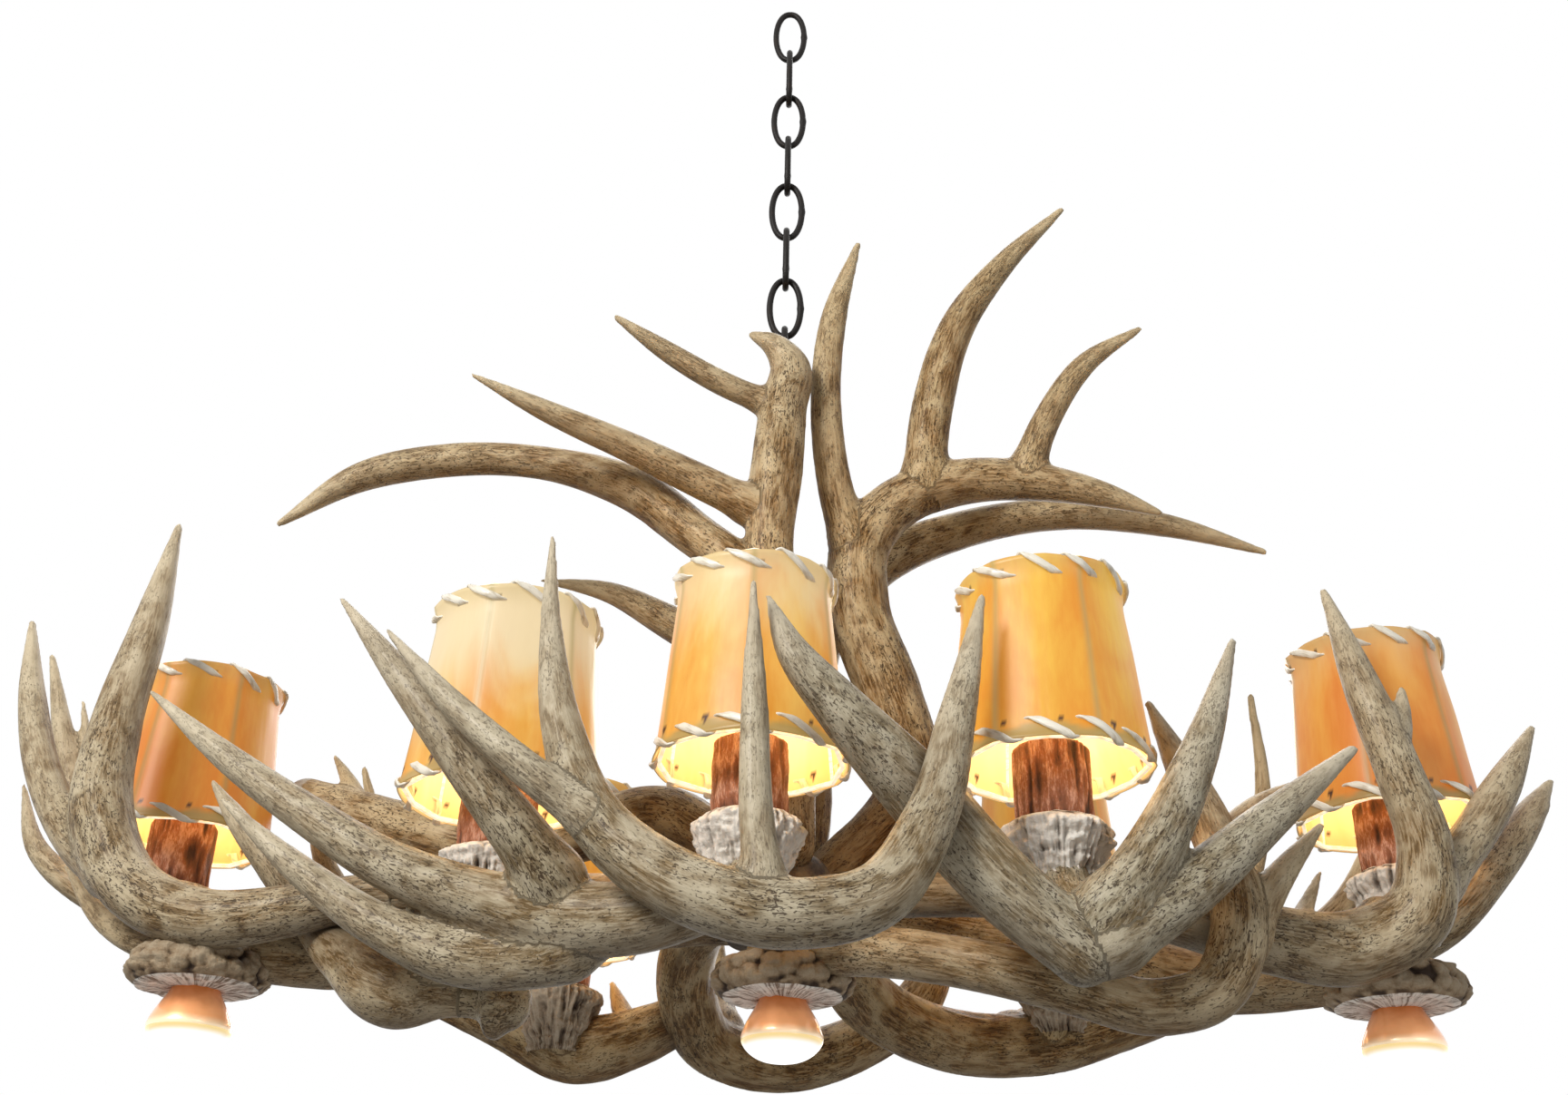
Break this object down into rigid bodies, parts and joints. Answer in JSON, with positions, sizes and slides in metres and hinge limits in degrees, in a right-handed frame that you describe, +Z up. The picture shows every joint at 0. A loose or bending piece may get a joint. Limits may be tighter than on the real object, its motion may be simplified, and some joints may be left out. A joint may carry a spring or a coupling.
{
  "type": "antler chandelier",
  "caption": "Long hanging chandelier of interlocked cast antlers with upright candle lamps in laced rawhide shades, reflector lamps facing down, and a chain of oval links.",
  "frame": {"origin": "inside of the top chain link under its upper bow, where the ceiling hook bears", "axes": "+X along the length of the chandelier, to the right as seen from the front; +Y to the back; +Z up"},
  "size_m": [1.4195, 0.6725, 1.1368],
  "materials": {
    "bronzed_steel": "dark oil-rubbed bronze paint, semi-gloss",
    "cast_antler": "antler casting, stained taupe with paler ridges and tips, satin",
    "cast_hub": "dark painted casting",
    "zinc_plate": "zinc-plated steel",
    "bark": "red-brown bark with upright ridges",
    "phenolic": "moulded lampholder, ivory",
    "frosted_glass": "frosted glass, lit",
    "lamp_glass": "reflector glass with a coppery shoulder and a clear lit lens",
    "frame_wire": "wire wrapped in pale hide",
    "rawhide": "translucent amber rawhide"
  },
  "bodies": {
    "chain_link_1": {"chain_link_1": "bronzed_steel"},
    "chain_link_2": {"chain_link_2": "bronzed_steel"},
    "chain_link_3": {"chain_link_3": "bronzed_steel"},
    "chain_link_4": {"chain_link_4": "bronzed_steel"},
    "chain_link_5": {"chain_link_5": "bronzed_steel"},
    "chain_link_6": {"chain_link_6": "bronzed_steel"},
    "chain_link_7": {"chain_link_7": "bronzed_steel"},
    "chain_link_8": {"chain_link_8": "bronzed_steel"},
    "fixture": {"hanging_loop": "bronzed_steel", "stem_pipe": "bronzed_steel", "hub_block": "cast_hub", "hub_nuts": "zinc_plate", "front_centre_antler": "cast_antler", "right_front_antler": "cast_antler", "left_front_antler": "cast_antler", "left_end_antler": "cast_antler", "right_end_antler": "cast_antler", "centre_burr_antler": "cast_antler", "left_burr_antler": "cast_antler", "right_burr_antler": "cast_antler", "lower_left_antler": "cast_antler", "left_outer_antler": "cast_antler", "right_outer_antler": "cast_antler", "rear_centre_antler": "cast_antler", "rear_right_antler": "cast_antler", "rear_left_antler": "cast_antler", "upper_left_antler": "cast_antler", "upper_right_antler": "cast_antler", "upper_rear_antler": "cast_antler", "inner_left_antler": "cast_antler", "candle_sleeves": "bark", "lampholders": "phenolic", "antler_screws": "zinc_plate"},
    "left_end_bulb": {"left_end_bulb": "frosted_glass"},
    "left_end_shade": {"left_end_shade_frame": "frame_wire", "left_end_shade_cover": "rawhide"},
    "left_front_bulb": {"left_front_bulb": "frosted_glass"},
    "left_front_shade": {"left_front_shade_frame": "frame_wire", "left_front_shade_cover": "rawhide"},
    "centre_front_bulb": {"centre_front_bulb": "frosted_glass"},
    "centre_front_shade": {"centre_front_shade_frame": "frame_wire", "centre_front_shade_cover": "rawhide"},
    "right_front_bulb": {"right_front_bulb": "frosted_glass"},
    "right_front_shade": {"right_front_shade_frame": "frame_wire", "right_front_shade_cover": "rawhide"},
    "right_end_bulb": {"right_end_bulb": "frosted_glass"},
    "right_end_shade": {"right_end_shade_frame": "frame_wire", "right_end_shade_cover": "rawhide"},
    "left_rear_bulb": {"left_rear_bulb": "frosted_glass"},
    "left_rear_shade": {"left_rear_shade_frame": "frame_wire", "left_rear_shade_cover": "rawhide"},
    "right_rear_bulb": {"right_rear_bulb": "frosted_glass"},
    "right_rear_shade": {"right_rear_shade_frame": "frame_wire", "right_rear_shade_cover": "rawhide"},
    "left_reflector_lamp": {"left_reflector_lamp": "lamp_glass"},
    "centre_reflector_lamp": {"centre_reflector_lamp": "lamp_glass"},
    "right_reflector_lamp": {"right_reflector_lamp": "lamp_glass"}
  },
  "joints": [
    {"name": "link_2_swing", "type": "hinge", "parent": "chain_link_1", "child": "chain_link_2", "pos_m": [0, 0, -0.06525], "axis": [1, 0, 0], "range_deg": [-8, 8]},
    {"name": "link_3_swing", "type": "hinge", "parent": "chain_link_2", "child": "chain_link_3", "pos_m": [0, 0, -0.1264], "axis": [0, 1, 0], "range_deg": [-8, 8]},
    {"name": "link_4_swing", "type": "hinge", "parent": "chain_link_3", "child": "chain_link_4", "pos_m": [0, 0, -0.18755], "axis": [1, 0, 0], "range_deg": [-8, 8]},
    {"name": "link_5_swing", "type": "hinge", "parent": "chain_link_4", "child": "chain_link_5", "pos_m": [0, 0, -0.2487], "axis": [0, 1, 0], "range_deg": [-8, 8]},
    {"name": "link_6_swing", "type": "hinge", "parent": "chain_link_5", "child": "chain_link_6", "pos_m": [0, 0, -0.30985], "axis": [1, 0, 0], "range_deg": [-8, 8]},
    {"name": "link_7_swing", "type": "hinge", "parent": "chain_link_6", "child": "chain_link_7", "pos_m": [0, 0, -0.371], "axis": [0, 1, 0], "range_deg": [-8, 8]},
    {"name": "link_8_swing", "type": "hinge", "parent": "chain_link_7", "child": "chain_link_8", "pos_m": [0, 0, -0.43215], "axis": [1, 0, 0], "range_deg": [-8, 8]},
    {"name": "fixture_swing", "type": "hinge", "parent": "chain_link_8", "child": "fixture", "pos_m": [0, 0, -0.4933], "axis": [0, 1, 0], "range_deg": [-8, 8]},
    {"name": "left_end_bulb_turn", "type": "hinge", "parent": "fixture", "child": "left_end_bulb", "pos_m": [-0.527, 0.1, -0.905], "axis": [0, 0, 1], "continuous": true},
    {"name": "left_end_shade_lift", "type": "slide", "parent": "left_end_bulb", "child": "left_end_shade", "axis": [0, 0, 1], "range_m": [0, 0.1]},
    {"name": "left_front_bulb_turn", "type": "hinge", "parent": "fixture", "child": "left_front_bulb", "pos_m": [-0.205, -0.145, -0.947], "axis": [0, 0, 1], "continuous": true},
    {"name": "left_front_shade_lift", "type": "slide", "parent": "left_front_bulb", "child": "left_front_shade", "axis": [0, 0, 1], "range_m": [0, 0.1]},
    {"name": "centre_front_bulb_turn", "type": "hinge", "parent": "fixture", "child": "centre_front_bulb", "pos_m": [-0.019, -0.16, -0.922], "axis": [0, 0, 1], "continuous": true},
    {"name": "centre_front_shade_lift", "type": "slide", "parent": "centre_front_bulb", "child": "centre_front_shade", "axis": [0, 0, 1], "range_m": [0, 0.1]},
    {"name": "right_front_bulb_turn", "type": "hinge", "parent": "fixture", "child": "right_front_bulb", "pos_m": [0.204, -0.165, -0.924], "axis": [0, 0, 1], "continuous": true},
    {"name": "right_front_shade_lift", "type": "slide", "parent": "right_front_bulb", "child": "right_front_shade", "axis": [0, 0, 1], "range_m": [0, 0.1]},
    {"name": "right_end_bulb_turn", "type": "hinge", "parent": "fixture", "child": "right_end_bulb", "pos_m": [0.502, -0.03, -0.914], "axis": [0, 0, 1], "continuous": true},
    {"name": "right_end_shade_lift", "type": "slide", "parent": "right_end_bulb", "child": "right_end_shade", "axis": [0, 0, 1], "range_m": [0, 0.1]},
    {"name": "left_rear_bulb_turn", "type": "hinge", "parent": "fixture", "child": "left_rear_bulb", "pos_m": [-0.201, 0.24, -0.954], "axis": [0, 0, 1], "continuous": true},
    {"name": "left_rear_shade_lift", "type": "slide", "parent": "left_rear_bulb", "child": "left_rear_shade", "axis": [0, 0, 1], "range_m": [0, 0.1]},
    {"name": "right_rear_bulb_turn", "type": "hinge", "parent": "fixture", "child": "right_rear_bulb", "pos_m": [0.266, 0.24, -0.93], "axis": [0, 0, 1], "continuous": true},
    {"name": "right_rear_shade_lift", "type": "slide", "parent": "right_rear_bulb", "child": "right_rear_shade", "axis": [0, 0, 1], "range_m": [0, 0.1]},
    {"name": "left_reflector_lamp_turn", "type": "hinge", "parent": "fixture", "child": "left_reflector_lamp", "pos_m": [-0.442, -0.038, -1.082], "axis": [0, 0, 1], "continuous": true},
    {"name": "centre_reflector_lamp_turn", "type": "hinge", "parent": "fixture", "child": "centre_reflector_lamp", "pos_m": [0.008, -0.038, -1.082], "axis": [0, 0, 1], "continuous": true},
    {"name": "right_reflector_lamp_turn", "type": "hinge", "parent": "fixture", "child": "right_reflector_lamp", "pos_m": [0.48, -0.038, -1.081], "axis": [0, 0, 1], "continuous": true}
  ]
}
